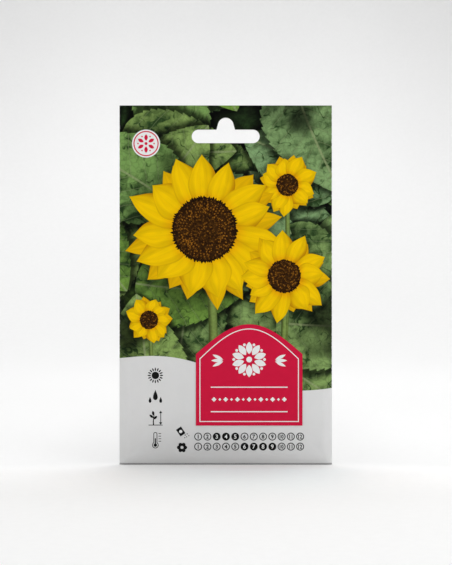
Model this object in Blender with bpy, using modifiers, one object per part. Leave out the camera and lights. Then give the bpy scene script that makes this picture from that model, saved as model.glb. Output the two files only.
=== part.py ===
"""A filled paper seed packet that stands on its bottom fold.

Metres, +Z up. The printed front faces -Y. The origin is at the middle of the packet's footprint,
on the surface that it stands on. The sheet folds at y = 0: the front panel bulges towards -Y and
the back panel towards +Y, and the front sheet's three flaps are glued over the back panel.
"""

import math
import random

import bmesh
import bpy

# Driving dimensions, in metres
WIDTH = 0.100
HEIGHT = 0.169
PAPER = 0.0003  # thickness of one sheet
GAP = 0.0003  # clearance between neighbouring sheets, and round each seed

FRONT_DEPTH = 0.0030  # from the fold plane to the flat of the front panel
BACK_DEPTH = FRONT_DEPTH - PAPER - GAP  # leaves room for the flaps, so the packet is centred on y = 0
BEVEL = 0.0057  # width of the sloping border along the folds
BEVEL_POWER = 1.6  # 1 gives a straight slope, more rounds it into the flat
SIDE_HALF = 0.0009  # half the thickness of a side fold
FOOT_HALF = 0.0015  # half the thickness of the bottom fold
ROLL = 0.00045  # outer radius of the folds
HEADER_HALF = 0.0006  # half the thickness of the pressed top, without its flap
HEADER = 0.0260  # height of the pressed top
TAPER = 0.0500  # height over which the pouch thins into the pressed top

SLOT_LENGTH = 0.0320  # standard hanging slot
SLOT_WIDTH = 0.0064
SLOT_DOME_WIDTH = 0.0087
SLOT_DOME_TOP_RADIUS = 0.0037
SLOT_TOTAL_HEIGHT = 0.0120
SLOT_BOTTOM = HEIGHT - 0.0178

BOTTOM_FLAP_HEIGHT = 0.0150
BOTTOM_FLAP_HALF = (0.0440, 0.0400)  # half widths at its foot and at its free edge
TOP_FLAP_HEIGHT = 0.0250
TOP_FLAP_HALF = (0.0492, 0.0470)  # half widths at its fold and at its free edge
SIDE_FLAP_INNER = 0.0385  # distance of the side flap's free edge from the middle
SIDE_FLAP_OUTER = 0.0486
SIDE_FLAP_FOOT = 0.0170
SIDE_FLAP_TOP = HEIGHT - HEADER - 0.0010
SIDE_FLAP_CHAMFER = 0.0040

SEED_LENGTH = 0.0105
SEED_WIDTH = 0.0058
SEED_THICKNESS = FRONT_DEPTH + BACK_DEPTH - 2 * (PAPER + GAP)
SEED_PITCH = 0.0065
SEED_ROWS = (13, 12, 7)  # seeds in each row of the heap, from the bottom row up
SEED_ROW_PITCH = 0.0094
SEED_HEAP_FOOT = 0.0118  # height of the middle of the lowest row
SEED_TILT = math.radians(7)

ROLL_STEPS = 3
BEVEL_STEPS = 4
FLAT_STEPS = 5
TAPER_STEPS = 8
END_STEPS = 8  # sides round each end of the slot
DOME_STEPS = 9  # sides round its dome
SEED_SEGMENTS = 8
SEED_RINGS = 8

MERGE = 0.000001

# Colour, roughness and metallic value of each finish
PRINTED_PAPER = ((0.16, 0.27, 0.08, 1.0), 0.42, 0.0)
WHITE_PAPER = ((0.80, 0.80, 0.79, 1.0), 0.55, 0.0)
SEED_HULL = ((0.04, 0.035, 0.03, 1.0), 0.60, 0.0)


def clear_scene():
    for thing in list(bpy.data.objects):
        bpy.data.objects.remove(thing, do_unlink=True)


def make_collection(name):
    collection = bpy.data.collections.new(name)
    bpy.context.scene.collection.children.link(collection)
    return collection


def make_material(name, finish):
    colour, roughness, metallic = finish
    material = bpy.data.materials.new(name)
    material.use_nodes = True
    shader = material.node_tree.nodes["Principled BSDF"]
    shader.inputs["Base Color"].default_value = colour
    shader.inputs["Roughness"].default_value = roughness
    shader.inputs["Metallic"].default_value = metallic
    return material


def add_object(name, bm, collection, finish):
    mesh = bpy.data.meshes.new(name)
    bm.to_mesh(mesh)
    bm.free()
    thing = bpy.data.objects.new(name, mesh)
    collection.objects.link(thing)
    if finish is not None:
        mesh.materials.append(make_material(name, finish))
    return thing


def blend(a, b, amount):
    return a + (b - a) * amount


def smooth(amount):
    amount = min(max(amount, 0.0), 1.0)
    return amount * amount * (3 - 2 * amount)


# The pouch's outer surface


def fold_curve(inset, half, depth):
    """Depth from the fold plane at a distance in from a fold: a quarter round, then the bevel."""
    if inset < ROLL:
        return half - ROLL + math.sqrt(ROLL**2 - (ROLL - inset) ** 2)
    rise = min((inset - ROLL) / (BEVEL - ROLL), 1.0)
    return blend(depth, half, (1 - rise) ** BEVEL_POWER)


def pouch_depth(x, z, depth):
    """Depth of the outer surface: the lower of what the side folds and the bottom fold allow."""
    pressed = smooth((z - (HEIGHT - HEADER - TAPER)) / TAPER)
    flat = blend(depth, HEADER_HALF, pressed)
    side = fold_curve(WIDTH / 2 - abs(x), blend(SIDE_HALF, HEADER_HALF, pressed), flat)
    foot = fold_curve(z, FOOT_HALF, flat)
    return min(side, foot)


def steps(start, end, count):
    return [blend(start, end, k / count) for k in range(1, count + 1)]


def fold_insets():
    """Distances in from a fold: its edge, round its quarter, then up the bevel."""
    quarter = [ROLL * (1 - math.cos(math.pi / 2 * k / ROLL_STEPS)) for k in range(1, ROLL_STEPS + 1)]
    return [0.0] + quarter + steps(ROLL, BEVEL, BEVEL_STEPS)


def panel_columns():
    left = [-WIDTH / 2 + inset for inset in fold_insets()]
    middle = steps(left[-1], -left[-1], FLAT_STEPS)[:-1]
    return left + middle + [-x for x in reversed(left)]


def panel_rows():
    """Heights of the rows. The lowest comes twice, for the flat that the packet stands on."""
    taper_foot = HEIGHT - HEADER - TAPER
    foot = [0.0] + fold_insets()
    flat = steps(foot[-1], taper_foot, 2)
    taper = steps(taper_foot, HEIGHT - HEADER, TAPER_STEPS)
    return foot + flat + taper


def grid_surface(columns, rows, place):
    """A grid whose point in each column and row is moved to place(column, row)."""
    bm = bmesh.new()
    bmesh.ops.create_grid(bm, x_segments=columns - 1, y_segments=rows - 1, size=0.5)
    for point in bm.verts:
        column = round((point.co.x + 0.5) * (columns - 1))
        row = round((point.co.y + 0.5) * (rows - 1))
        point.co = place(column, row)
    bmesh.ops.remove_doubles(bm, verts=bm.verts[:], dist=MERGE)
    return bm


def thicken(thing):
    """Adds the sheet's thickness behind its outer surface."""
    solidify = thing.modifiers.new("Paper", "SOLIDIFY")
    solidify.thickness = PAPER
    solidify.offset = -1.0
    solidify.use_even_offset = True


def punch(thing, cutter):
    cut = thing.modifiers.new("Hanging slot", "BOOLEAN")
    cut.operation = "DIFFERENCE"
    cut.solver = "EXACT"
    cut.object = cutter


def slot_outline():
    """The hanging slot round its edge: a slot with round ends and a dome on its upper side."""
    radius = SLOT_WIDTH / 2
    centre = SLOT_LENGTH / 2 - radius
    middle = SLOT_BOTTOM + radius
    dome_centre = SLOT_BOTTOM + SLOT_TOTAL_HEIGHT - SLOT_DOME_TOP_RADIUS
    dome_foot = SLOT_DOME_WIDTH / 2
    spread = math.atan2(dome_foot - SLOT_DOME_TOP_RADIUS, dome_centre - SLOT_BOTTOM - SLOT_WIDTH)
    points = []
    for k in range(END_STEPS + 1):
        turn = math.pi * k / END_STEPS - math.pi / 2
        points.append((centre + radius * math.cos(turn), middle + radius * math.sin(turn)))
    points.append((dome_foot, SLOT_BOTTOM + SLOT_WIDTH))
    for k in range(DOME_STEPS + 1):
        turn = blend(spread, math.pi - spread, k / DOME_STEPS)
        across = SLOT_DOME_TOP_RADIUS * math.cos(turn)
        points.append((across, dome_centre + SLOT_DOME_TOP_RADIUS * math.sin(turn)))
    points.append((-dome_foot, SLOT_BOTTOM + SLOT_WIDTH))
    for k in range(END_STEPS + 1):
        turn = math.pi * k / END_STEPS + math.pi / 2
        points.append((-centre + radius * math.cos(turn), middle + radius * math.sin(turn)))
    return points


def make_slot_cutter(collection):
    """The slot's outline as a flat curve, extruded along Y through every sheet and made a mesh."""
    curve = bpy.data.curves.new("slot_outline", "CURVE")
    curve.dimensions = "2D"
    curve.fill_mode = "BOTH"
    curve.extrude = 0.005
    spline = curve.splines.new("POLY")
    outline = slot_outline()
    spline.points.add(len(outline) - 1)
    for point, (x, z) in zip(spline.points, outline):
        point.co = (x, z, 0.0, 1.0)
    spline.use_cyclic_u = True
    guide = bpy.data.objects.new("slot_outline", curve)
    guide.rotation_euler = (math.pi / 2, 0.0, 0.0)
    collection.objects.link(guide)
    bpy.context.view_layer.update()
    graph = bpy.context.evaluated_depsgraph_get()
    mesh = bpy.data.meshes.new_from_object(guide.evaluated_get(graph))
    mesh.transform(guide.matrix_world)
    bpy.data.objects.remove(guide, do_unlink=True)
    bm = bmesh.new()
    bm.from_mesh(mesh)
    bpy.data.meshes.remove(mesh)
    bmesh.ops.remove_doubles(bm, verts=bm.verts[:], dist=MERGE)
    bmesh.ops.recalc_face_normals(bm, faces=bm.faces[:])
    cutter = add_object("slot_cutter", bm, collection, None)
    cutter.hide_render = True
    cutter.display_type = "WIRE"
    return cutter


def make_panel(name, side, depth, top, parts, cutter, finish):
    """A front (side -1) or back (side 1) panel with its folds, from the fold plane outwards."""
    columns = panel_columns()
    rows = panel_rows() + [top]
    border = (0, len(columns) - 1)

    def place(column, row):
        x = columns[column] * -side
        z = rows[row]
        if column in border or row == 0:
            return (x, side * GAP / 2, z)
        return (x, side * pouch_depth(x, z, depth), z)

    panel = add_object(name, grid_surface(len(columns), len(rows), place), parts, finish)
    thicken(panel)
    punch(panel, cutter)
    return panel


def flap_depth(x, z):
    """Outer surface of a flap: one sheet and one gap over the back panel."""
    return pouch_depth(x, z, BACK_DEPTH) + GAP + PAPER


def make_bottom_flap(parts):
    """The flap that turns up from the bottom fold, narrower towards its free edge."""
    columns = 5
    start = ROLL + GAP
    heights = [start] + [z for z in fold_insets() if z > start] + [BOTTOM_FLAP_HEIGHT]

    def place(column, row):
        z = heights[row]
        half = blend(*BOTTOM_FLAP_HALF, (z - start) / (BOTTOM_FLAP_HEIGHT - start))
        x = half * (1 - 2 * column / (columns - 1))
        return (x, flap_depth(x, z), z)

    flap = add_object("bottom_flap", grid_surface(columns, len(heights), place), parts, WHITE_PAPER)
    thicken(flap)
    return flap


def make_side_flap(parts):
    """The long flap that turns in from the side fold, with a chamfer at each end."""
    start = WIDTH / 2 - SIDE_FLAP_OUTER
    insets = [start] + [inset for inset in fold_insets() if inset > start]
    columns = [WIDTH / 2 - inset for inset in insets] + [SIDE_FLAP_INNER]
    taper_foot = HEIGHT - HEADER - TAPER
    levels = [SIDE_FLAP_FOOT, taper_foot] + steps(taper_foot, HEIGHT - HEADER, TAPER_STEPS)[:-1]
    levels.append(SIDE_FLAP_TOP)
    span = SIDE_FLAP_OUTER - SIDE_FLAP_INNER

    def place(column, row):
        x = columns[column]
        z = levels[row]
        chamfer = SIDE_FLAP_CHAMFER * (SIDE_FLAP_OUTER - x) / span
        if row == 0:
            z += chamfer
        if row == len(levels) - 1:
            z -= chamfer
        return (x, flap_depth(x, z), z)

    flap = add_object("side_flap", grid_surface(len(columns), len(levels), place), parts, WHITE_PAPER)
    thicken(flap)
    return flap


def make_top_flap(parts, cutter):
    """The flap that turns over the back panel's top edge and down behind the slot."""
    columns = 4
    outer = HEADER_HALF + GAP + PAPER
    turn = PAPER + GAP
    profile = [(outer, HEIGHT - TOP_FLAP_HEIGHT)]
    for k in range(ROLL_STEPS + 1):
        angle = math.pi / 2 * k / ROLL_STEPS
        profile.append((outer - turn * (1 - math.cos(angle)), HEIGHT - turn * (1 - math.sin(angle))))
    profile.append((0.0, HEIGHT))

    def place(column, row):
        y, z = profile[row]
        half = blend(*TOP_FLAP_HALF, (HEIGHT - z) / TOP_FLAP_HEIGHT)
        x = half * (1 - 2 * column / (columns - 1))
        return (x, y, z)

    flap = add_object("top_flap", grid_surface(columns, len(profile), place), parts, WHITE_PAPER)
    thicken(flap)
    punch(flap, cutter)
    return flap


def make_seed_mesh():
    """A sphere drawn out along Z, narrowed towards its lower tip and flattened along Y."""
    bm = bmesh.new()
    bmesh.ops.create_uvsphere(bm, u_segments=SEED_SEGMENTS, v_segments=SEED_RINGS, radius=0.5)
    for point in bm.verts:
        height = point.co.z * 2
        narrow = 1 - 0.22 * (1 - height) / 2
        point.co.x *= SEED_WIDTH * narrow
        point.co.y *= SEED_THICKNESS
        point.co.z *= SEED_LENGTH
    mesh = bpy.data.meshes.new("seed")
    bm.to_mesh(mesh)
    bm.free()
    mesh.materials.append(make_material("seed", SEED_HULL))
    mesh.shade_smooth()
    return mesh


def make_seeds(parts):
    """A heap of seeds in the foot of the pouch, one layer deep, each row set over the gaps below."""
    mesh = make_seed_mesh()
    draw = random.Random(5)
    middle = (BACK_DEPTH - FRONT_DEPTH) / 2
    number = 0
    for row, count in enumerate(SEED_ROWS):
        for k in range(count):
            number += 1
            seed = bpy.data.objects.new(f"seed_{number:02d}", mesh)
            x = (k - (count - 1) / 2) * SEED_PITCH
            seed.location = (x, middle, SEED_HEAP_FOOT + row * SEED_ROW_PITCH)
            upside_down = math.pi * draw.randint(0, 1)
            seed.rotation_euler = (0.0, upside_down + draw.uniform(-SEED_TILT, SEED_TILT), 0.0)
            parts.objects.link(seed)


def main():
    clear_scene()
    parts = make_collection("seed_packet")
    cutters = make_collection("cutters")
    cutter = make_slot_cutter(cutters)
    back_top = HEIGHT - PAPER - GAP
    make_panel("front_panel", -1, FRONT_DEPTH, HEIGHT, parts, cutter, PRINTED_PAPER)
    make_panel("back_panel", 1, BACK_DEPTH, back_top, parts, cutter, WHITE_PAPER)
    make_side_flap(parts)
    make_bottom_flap(parts)
    make_top_flap(parts, cutter)
    make_seeds(parts)


main()
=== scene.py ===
"""Looks of a filled paper seed packet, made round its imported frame.

Metres, +Z up. The printed front faces -Y, and the packet's side folds lie in the plane y = 0.
Sheets and prints are laid out flat, in plan coordinates: x across the packet and z up it. Then
they are lifted onto the pouch, whose depth at each plan point is one formula that they all share.
"""

import math

import bpy
import numpy as np
from bpy.props import FloatProperty, FloatVectorProperty, PointerProperty
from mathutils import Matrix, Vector


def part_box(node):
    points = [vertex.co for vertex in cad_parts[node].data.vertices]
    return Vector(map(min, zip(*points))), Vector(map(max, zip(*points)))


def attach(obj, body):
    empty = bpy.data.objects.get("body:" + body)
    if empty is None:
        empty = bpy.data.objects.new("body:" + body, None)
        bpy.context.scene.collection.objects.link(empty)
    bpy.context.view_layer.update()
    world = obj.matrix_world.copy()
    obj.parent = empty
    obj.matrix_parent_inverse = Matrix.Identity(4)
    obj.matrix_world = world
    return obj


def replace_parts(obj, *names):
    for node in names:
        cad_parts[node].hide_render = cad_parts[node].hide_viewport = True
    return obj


bl_info = {
    "name": "Seed packet",
    "version": (1, 0, 0),
    "blender": (4, 5, 0),
    "location": "View3D > Sidebar > Seed packet",
    "description": "Folded sheets, print, seeds and stage of a filled paper seed packet",
    "category": "Object",
}

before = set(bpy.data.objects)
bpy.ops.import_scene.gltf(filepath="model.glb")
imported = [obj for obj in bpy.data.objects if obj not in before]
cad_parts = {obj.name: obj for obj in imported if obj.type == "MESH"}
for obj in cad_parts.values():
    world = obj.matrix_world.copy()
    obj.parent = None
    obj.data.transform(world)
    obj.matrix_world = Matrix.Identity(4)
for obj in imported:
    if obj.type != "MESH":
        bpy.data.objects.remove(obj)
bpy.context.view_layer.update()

FRONT, BACK = -1, 1
FRONT_LOW, FRONT_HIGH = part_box("front_panel")
WIDTH = FRONT_HIGH.x - FRONT_LOW.x
HEIGHT = FRONT_HIGH.z
PANEL_DEPTH = {FRONT: -FRONT_LOW.y, BACK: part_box("back_panel")[1].y}
BACK_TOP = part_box("back_panel")[1].z
SIDE_FLAP_LOW, SIDE_FLAP_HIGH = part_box("side_flap")
BOTTOM_FLAP_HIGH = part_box("bottom_flap")[1]
TOP_FLAP_LOW, TOP_FLAP_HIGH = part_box("top_flap")
SEED_NODES = sorted(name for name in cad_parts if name.startswith("seed_"))

MM = 0.001
MICRON = 0.000001
SHEEN = 0.05  # specular level of the satin print and paper
GOLDEN_ANGLE = math.pi * (3 - math.sqrt(5))
HULL_DARK, HULL_PALE = (0.020, 0.017, 0.014), (0.42, 0.38, 0.31)  # ground and stripes of a seed
BLOCK = (-20 * MM, 20 * MM, HEIGHT - 20.8 * MM, HEIGHT - 3.2 * MM)  # of quads round the slot
SLOT_STEPS = (72, 32, 20, 32, 20, 32)  # along its parts, as many as round the block
BACK_NARROWER, BACK_SHORTER = 0.0008, 0.0006  # than the front, as shares of its sizes
SOWING, FLOWERING = (3, 4, 5), (6, 7, 8, 9)  # months

# The front's creases: from and to (across, up), height (negative for a dent), and spread
CREASES = (
    (-49.5 * MM, 0.6 * MM, -38.5 * MM, 11.0 * MM, -0.34 * MM, 1.3 * MM),
    (-47.5 * MM, 11.5 * MM, -40.0 * MM, 3.5 * MM, 0.14 * MM, 1.3 * MM),
    (49.5 * MM, 0.8 * MM, 38.0 * MM, 13.0 * MM, -0.26 * MM, 1.4 * MM),
    (-44.2 * MM, 12.0 * MM, -45.0 * MM, 54.0 * MM, -0.16 * MM, 1.6 * MM),
    (-18.0 * MM, 5.2 * MM, 14.0 * MM, 4.2 * MM, -0.08 * MM, 1.4 * MM),
    (43.6 * MM, 6.0 * MM, 44.6 * MM, 52.0 * MM, -0.16 * MM, 1.5 * MM),
    (6.0 * MM, 144.5 * MM, 42.0 * MM, 140.0 * MM, -0.12 * MM, 2.2 * MM),
    (-45.0 * MM, 142.0 * MM, -14.0 * MM, 145.5 * MM, -0.10 * MM, 2.2 * MM),
)

# Lattices of printed leaves, lowest first: pitch, turn, and place of the middle
LEAF_LAYERS = (
    (50 * MM, 0.3, 14 * MM, 87 * MM),
    (56 * MM, 1.2, 28 * MM, 118 * MM),
    (52 * MM, 2.0, -6 * MM, 123 * MM),
    (60 * MM, 0.8, 20 * MM, 104 * MM),
    (57 * MM, 1.7, 33 * MM, 145 * MM),
    (64 * MM, 2.5, 2 * MM, 102 * MM),
)

# Flowers: middle, radius, share of the disc, ray petals, turn, level, seed of their draw
BLOOMS = (
    (29 * MM, 131.5 * MM, 14.0 * MM, 0.36, 12, 0.2, 1, 3),
    (-36 * MM, 68 * MM, 10.5 * MM, 0.40, 11, 0.5, 1, 4),
    (-10 * MM, 110.5 * MM, 35.5 * MM, 0.42, 17, 0.1, 12, 5),
    (27.5 * MM, 88.5 * MM, 20.0 * MM, 0.38, 14, 0.35, 23, 6),
)

# Films of ink: ink, and level over the paper in steps
FILMS = {
    "flower_stems": ("stems", 0.5),
    "ray_petals": ("petals", 1.0),
    "flower_discs": ("discs", 1.0),
    "label_ground": ("red", 27),
    "label_lines": ("white", 30),
    "badge_ground": ("white", 3),
    "badge_rosette": ("red", 5),
    "month_rings": ("black", 2),
    "pictograms": ("black", 2),
    "month_figures": ("white", 4),
    "back_lines": ("black", 2),
    "back_figures": ("white", 4),
}

# Soft boxes: name, place, target, size and power
LIGHTS = (
    ("light_over", (0.15, 0.60, 1.15), (0.0, 0.0, 0.0), (1.2, 1.0), 5.85),
    ("light_key", (0.42, -0.48, 0.42), (0.0, 0.0, 0.1), (0.4, 0.4), 0.62),
    ("light_backdrop", (0.0, 0.60, 1.0), (0.0, 1.5, 0.2), (1.6, 0.6), 0.9),
)


def length(name, default, description):
    return FloatProperty(
        name=name, description=description, default=default, unit="LENGTH", precision=5
    )


def share(name, default, description):
    return FloatProperty(name=name, description=description, default=default, min=0.0, max=1.0)


def colour(name, default, description):
    return FloatVectorProperty(
        name=name, description=description, default=default, subtype="COLOR", min=0.0, max=1.0
    )


class PaperSettings(bpy.types.PropertyGroup):
    """Sizes and finish of the folded sheets"""

    thickness: length("Thickness", 0.25 * MM, "Thickness of one sheet of paper")
    bevel: length("Bevel", 5.7 * MM, "Width of the sloping border along the folds")
    roll: length("Roll", 0.45 * MM, "Outer radius of the folds")
    side_half: length("Side fold", 0.9 * MM, "Half the thickness of a side fold")
    foot_half: length("Bottom fold", 1.5 * MM, "Half the thickness of the bottom fold")
    header_half: length("Pressed top", 0.6 * MM, "Half the thickness of the pressed top")
    header: length("Header", 26 * MM, "Height of the pressed top")
    taper: length("Taper", 50 * MM, "Height over which the pouch thins into the pressed top")
    sway: length("Sway", 0.06 * MM, "How far the filled panels wander from flat")
    flap_stand: length("Flap stand", 0.29 * MM, "From the back panel to the outside of a flap")
    flap_lift: length("Flap lift", 0.25 * MM, "Extra height of a flap's free edge")
    flap_slant: length("Flap slant", 4 * MM, "How far a flap's ends draw in to its free edge")
    top_slant: length("Top slant", 2.2 * MM, "How far the top flap's sides draw in")
    bleed: length("Bleed", 2.6 * MM, "How far the front's print runs on over a fold")
    white: colour("White", (0.748, 0.748, 0.746), "Coated paper with no print")
    core: colour("Core", (0.62, 0.61, 0.58), "Cut edge of the paper")
    roughness: share("Roughness", 0.48, "Roughness of the coated paper")


class SlotSettings(bpy.types.PropertyGroup):
    """Sizes of the hanging slot"""

    length: length("Length", 32 * MM, "Length of the slot")
    width: length("Width", 6.4 * MM, "Height of the slot's straight part")
    dome_width: length("Dome width", 8.7 * MM, "Width of the dome where it leaves the slot")
    dome_radius: length("Dome radius", 3.7 * MM, "Radius of the dome's top")
    total: length("Total height", 12 * MM, "Height of the slot with its dome")
    below_top: length("Below top", 17.8 * MM, "From the packet's top to the slot's lower side")


class PictureSettings(bpy.types.PropertyGroup):
    """Colours and layout of the printed flowers and leaves"""

    band_left: length("Band left", 50 * MM, "Top of the pale band at the packet's left edge")
    band_right: length("Band right", 36 * MM, "Top of the pale band at the packet's right edge")
    band_swell: length("Band swell", 4 * MM, "How far the pale band's top edge curves")
    shade: colour("Shade", (0.006, 0.010, 0.004), "Dark gaps between the leaves")
    leaf: colour("Leaf", (0.255, 0.382, 0.104), "Lit part of a leaf that looks to the sun")
    leaf_cool: colour("Cool leaf", (0.226, 0.374, 0.163), "Lit part of a leaf that looks away")
    leaf_fresh: colour("Fresh leaf", (0.180, 0.335, 0.055), "Lit part of a younger leaf")
    leaf_dark: colour("Leaf shadow", (0.022, 0.052, 0.014), "Dark part of a leaf")
    vein: colour("Vein", (0.30, 0.36, 0.17), "Veins of the leaves")
    petal: colour("Petal", (0.88, 0.56, 0.0), "Ray petals")
    petal_foot: colour("Petal foot", (0.78, 0.30, 0.0), "Ray petals next to the disc")
    petal_shade: colour("Petal shade", (0.50, 0.20, 0.0), "Shaded part of a petal")
    disc: colour("Disc", (0.014, 0.005, 0.001), "Ground of a flower's disc")
    floret: colour("Floret", (0.38, 0.145, 0.010), "Brightest florets of a disc")
    stem: colour("Stem", (0.20, 0.29, 0.07), "Flower stems")


class InkSettings(bpy.types.PropertyGroup):
    """Plain inks"""

    red: colour("Red", (0.66, 0.010, 0.052), "Red of the label")
    black: colour("Black", (0.009, 0.009, 0.009), "Black of the pictograms and figures")
    white: colour("White", (0.91, 0.91, 0.905), "White of the label's lines and the badge")
    film: length("Film", 6 * MICRON, "Thickness of a film of ink")
    step: length("Step", 10 * MICRON, "From one film of ink to the next above it")


class LabelSettings(bpy.types.PropertyGroup):
    """Sizes of the red label and the badge"""

    centre: length("Centre", 11 * MM, "Label's middle, across the packet")
    half_width: length("Half width", 25 * MM, "Half the label's width")
    foot: length("Foot", 18.5 * MM, "Height of the label's lower edge")
    shoulder: length("Shoulder", 52 * MM, "Height at which the label's arch begins")
    arch: length("Arch", 14 * MM, "Rise of the label's arch")
    keyline: length("Keyline", 1.9 * MM, "From the label's edge to its thin pale line")
    badge_radius: length("Badge radius", 6.6 * MM, "Radius of the round badge")
    badge_x: length("Badge across", -37.5 * MM, "Badge's middle, across the packet")
    badge_z: length("Badge height", 151 * MM, "Badge's middle, above the table")


class CalendarSettings(bpy.types.PropertyGroup):
    """Two rows of twelve month figures"""

    pitch: length("Pitch", 4.35 * MM, "From one month to the next")
    radius: length("Radius", 1.85 * MM, "Outer radius of a month's ring")
    ring: length("Ring", 0.42 * MM, "Width of a month's ring")
    figure: length("Figure", 1.95 * MM, "Height of the figures")
    upper: length("Upper row", 13.3 * MM, "Height of the upper row")
    lower: length("Lower row", 8.6 * MM, "Height of the lower row")
    centre: length("Centre", 11 * MM, "Middle of the rows, across the packet")


class StageSettings(bpy.types.PropertyGroup):
    """Camera, lights and the pale sweep"""

    lens: FloatProperty(name="Lens", description="Focal length in millimetres", default=100.0)
    distance: length("Distance", 0.7394, "From the packet's side folds to the camera")
    across: length("Across", 0.14 * MM, "Place of the camera, across the packet")
    eye: length("Eye height", 85.6 * MM, "Height of the camera")
    radius: length("Radius", 1.5, "Radius of the sweep round the table")
    fillet: length("Fillet", 0.6, "Radius at the sweep's foot")
    wall: length("Wall", 1.7, "Height of the sweep")
    pale: colour("Pale", (0.895, 0.895, 0.894), "Floor and backdrop")


class PacketSettings(bpy.types.PropertyGroup):
    """Everything that a user would change"""

    paper: PointerProperty(type=PaperSettings)
    slot: PointerProperty(type=SlotSettings)
    picture: PointerProperty(type=PictureSettings)
    ink: PointerProperty(type=InkSettings)
    label: PointerProperty(type=LabelSettings)
    calendar: PointerProperty(type=CalendarSettings)
    stage: PointerProperty(type=StageSettings)


def settings():
    return bpy.context.scene.packet


# The pouch's surface


def ease(amount):
    """0 up to 0, 1 from 1 on, and three times the square less twice the cube between."""
    amount = np.clip(amount, 0.0, 1.0)
    return amount * amount * (3 - 2 * amount)


def between(start, end, amount):
    return start + (end - start) * amount


def fold_curve(inset, half, depth):
    """Depth at a distance in from a fold.

    A quarter round rises to half the fold's thickness. From there the depth goes to the panel's
    flat, and what is left of the way falls with the square of the distance left.
    """
    paper = settings().paper
    sagging = np.maximum(paper.roll - inset, 0.0)
    quarter = half - paper.roll + np.sqrt(np.maximum(paper.roll**2 - sagging**2, 0.0))
    left = 1 - np.clip((inset - paper.roll) / (paper.bevel - paper.roll), 0.0, 1.0)
    return np.where(inset < paper.roll, quarter, between(depth, half, left**2))


def sway(x, z):
    """Gentle wandering of a filled panel: two crossed sine waves that die out at the folds."""
    paper = settings().paper
    inside = ease((WIDTH / 2 - np.abs(x) - paper.bevel) / (15 * MM))
    inside = inside * ease((z - paper.bevel) / (12 * MM))
    held = 1 - ease((z - (HEIGHT - paper.header - paper.taper)) / paper.taper)
    bent = x / (10.5 * MM) + 1.7 * np.sin(z / (31 * MM))
    return paper.sway * inside * held * np.sin(bent) * np.sin(z / (13.8 * MM) + 0.9)


def creased(x, z):
    """Soft creases of the paper, each a bell curve across a line that dies out at its ends."""
    total = 0.0 * x
    for x0, z0, x1, z1, height, spread in CREASES:
        span = math.hypot(x1 - x0, z1 - z0)
        along = ((x - x0) * (x1 - x0) + (z - z0) * (z1 - z0)) / span**2
        off = ((x - x0) * (z1 - z0) - (z - z0) * (x1 - x0)) / span
        ends = ease(along / 0.3) * ease((1 - along) / 0.3)
        total = total + height * ends * np.exp(-((off / spread) ** 2))
    return total


def pouch_depth(x, z, side):
    """Depth of a panel's outside, the least that the side, bottom and top folds allow.

    The width of a fold's border wanders along it, as the product of two sine waves.
    """
    paper = settings().paper
    pressed = ease((z - (HEIGHT - paper.header - paper.taper)) / paper.taper)
    flat = between(PANEL_DEPTH[side], paper.header_half, pressed)
    side_half = between(paper.side_half, paper.header_half, pressed)
    wander = 1 + 0.14 * np.sin(z / (8.3 * MM) + np.sign(x)) * np.sin(z / (23 * MM) + x)
    across = fold_curve((WIDTH / 2 - np.abs(x)) * wander, side_half, flat)
    wander = 1 + 0.20 * np.sin(x / (6.1 * MM)) * np.sin(x / (17 * MM) + 1.1)
    foot = fold_curve(z * wander, paper.foot_half, flat)
    top = fold_curve(HEIGHT - z, paper.header_half, flat)
    depth = np.minimum(np.minimum(across, foot), top) + sway(x, z)
    return depth + (creased(x, z) if side == FRONT else 0.0)


# Grids and meshes


def grid_quads(rows, columns, copies=1):
    """Quads of grids stored row by row, anticlockwise where rows go up and columns right."""
    index = np.arange(rows * columns).reshape(rows, columns)
    corners = (index[:-1, :-1], index[:-1, 1:], index[1:, 1:], index[1:, :-1])
    quads = np.stack(corners, axis=-1).reshape(1, -1, 4)
    return (quads + np.arange(copies)[:, None, None] * rows * columns).reshape(-1, 4)


def ring_quads(loops, points):
    """Quads between closed loops of points, stored loop by loop."""
    index = np.arange(loops * points).reshape(loops, points)
    ahead = np.roll(index, -1, axis=1)
    corners = (index[:-1], ahead[:-1], ahead[1:], index[1:])
    return np.stack(corners, axis=-1).reshape(-1, 4)


def lines(*stops):
    """Places along an axis: from each stop to the next in the number of steps between them."""
    places = [np.array([stops[0]])]
    for start, count, end in zip(stops[0::2], stops[1::2], stops[2::2]):
        places.append(np.linspace(start, end, count + 1)[1:])
    return np.concatenate(places)


def facing(faces, x, z, sign):
    """Like faces, anticlockwise in plan for sign 1 and clockwise for sign -1."""
    across, up = x[faces], z[faces]
    area = np.sum(across * np.roll(up, -1, axis=1) - up * np.roll(across, -1, axis=1))
    return faces if area * sign > 0 else faces[:, ::-1]


def new_object(name, data):
    """An object in the scene."""
    thing = bpy.data.objects.new(name, data)
    bpy.context.scene.collection.objects.link(thing)
    return thing


def points_from(x, y, z):
    """Points whose coordinates are numbers or grids."""
    return np.stack(np.broadcast_arrays(x, y, z), axis=-1).reshape(-1, 3)


def aimed(x, z, ahead, aside, angle):
    """Plan coordinates some way ahead of a middle and some way to its left, facing an angle."""
    cosine, sine = np.cos(angle), np.sin(angle)
    return x + ahead * cosine - aside * sine, z + ahead * sine + aside * cosine


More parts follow.
